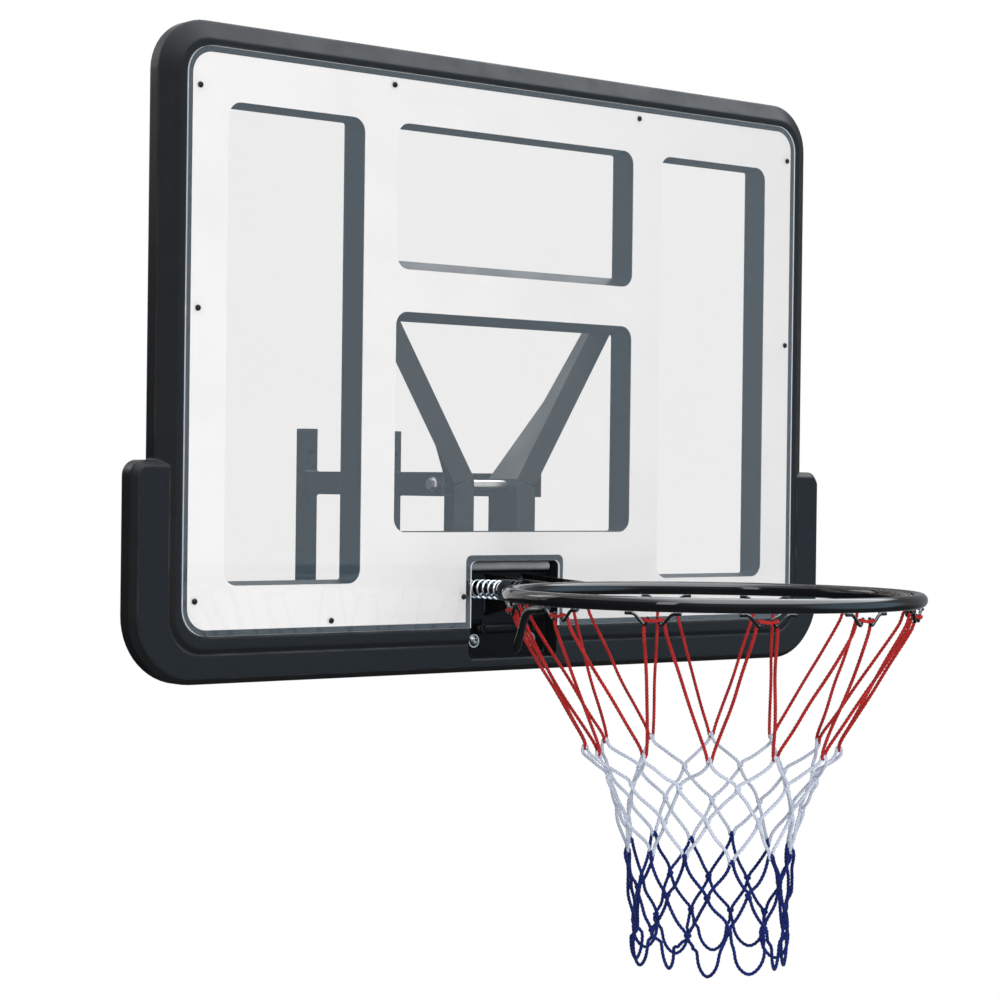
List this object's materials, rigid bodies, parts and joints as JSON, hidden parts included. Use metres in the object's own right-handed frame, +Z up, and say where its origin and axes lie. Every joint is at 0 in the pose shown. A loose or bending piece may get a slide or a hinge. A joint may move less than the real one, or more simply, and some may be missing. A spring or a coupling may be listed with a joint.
{
  "type": "basketball backboard",
  "caption": "Wall basketball backboard: black moulded panel with clear windowed sheet, sprung black rim with corded net and a steel wall bracket behind.",
  "frame": {"origin": "centre of the four wall bolt holes, on the plane where the uprights meet the wall", "axes": "+Z up, the board faces -Y, +X to the right as seen by a player"},
  "size_m": [1.1, 0.958, 1.073],
  "materials": {
    "bracket_paint": "satin black powder coat",
    "black_steel": "black oxide screws",
    "zinc_steel": "bright zinc plate",
    "rim_paint": "gloss black paint",
    "cap_plastic": "black push-in caps",
    "moulded_plastic": "satin black moulded polyethylene",
    "clear_plastic": "clear sheet",
    "white_print": "white film behind the sheet",
    "red_cord": "red cord",
    "white_cord": "white cord",
    "blue_cord": "blue cord"
  },
  "bodies": {
    "board": {"left_upright": "bracket_paint", "right_upright": "bracket_paint", "left_upper_arm": "bracket_paint", "left_lower_arm": "bracket_paint", "right_upper_arm": "bracket_paint", "right_lower_arm": "bracket_paint", "left_brace": "bracket_paint", "right_brace": "bracket_paint", "brace_screws": "black_steel", "sheet_screws": "black_steel", "spring_bolts": "black_steel", "spring_washers": "black_steel", "spring_nuts": "black_steel", "hinge_pin": "black_steel", "pin_clips": "black_steel", "upper_through_bolt": "zinc_steel", "lower_through_bolt": "zinc_steel", "upper_sleeve": "zinc_steel", "lower_sleeve": "zinc_steel", "through_bolt_nuts": "zinc_steel", "through_bolt_washers": "zinc_steel", "arm_spacers": "zinc_steel", "base_screws": "zinc_steel", "base_screw_nuts": "zinc_steel", "left_spring": "zinc_steel", "right_spring": "zinc_steel", "rim_base": "rim_paint", "upright_caps": "cap_plastic", "frame_panel": "moulded_plastic", "clear_sheet": "clear_plastic", "white_mask": "white_print"},
    "rim": {"rim_carrier": "rim_paint", "rim_ring": "rim_paint", "left_gusset": "rim_paint", "right_gusset": "rim_paint", "neck_plate": "rim_paint", "net_hooks": "rim_paint", "net_red": "red_cord", "net_white": "white_cord", "net_blue": "blue_cord"}
  },
  "joints": [
    {"name": "rim_flex", "type": "hinge", "parent": "board", "child": "rim", "pos_m": [0, -0.3465, -0.099], "axis": [1, 0, 0], "range_deg": [0, 25], "stiffness_Nm_per_rad": 150, "springref_deg": -17.19, "deforming": ["left_spring", "right_spring"]}
  ]
}
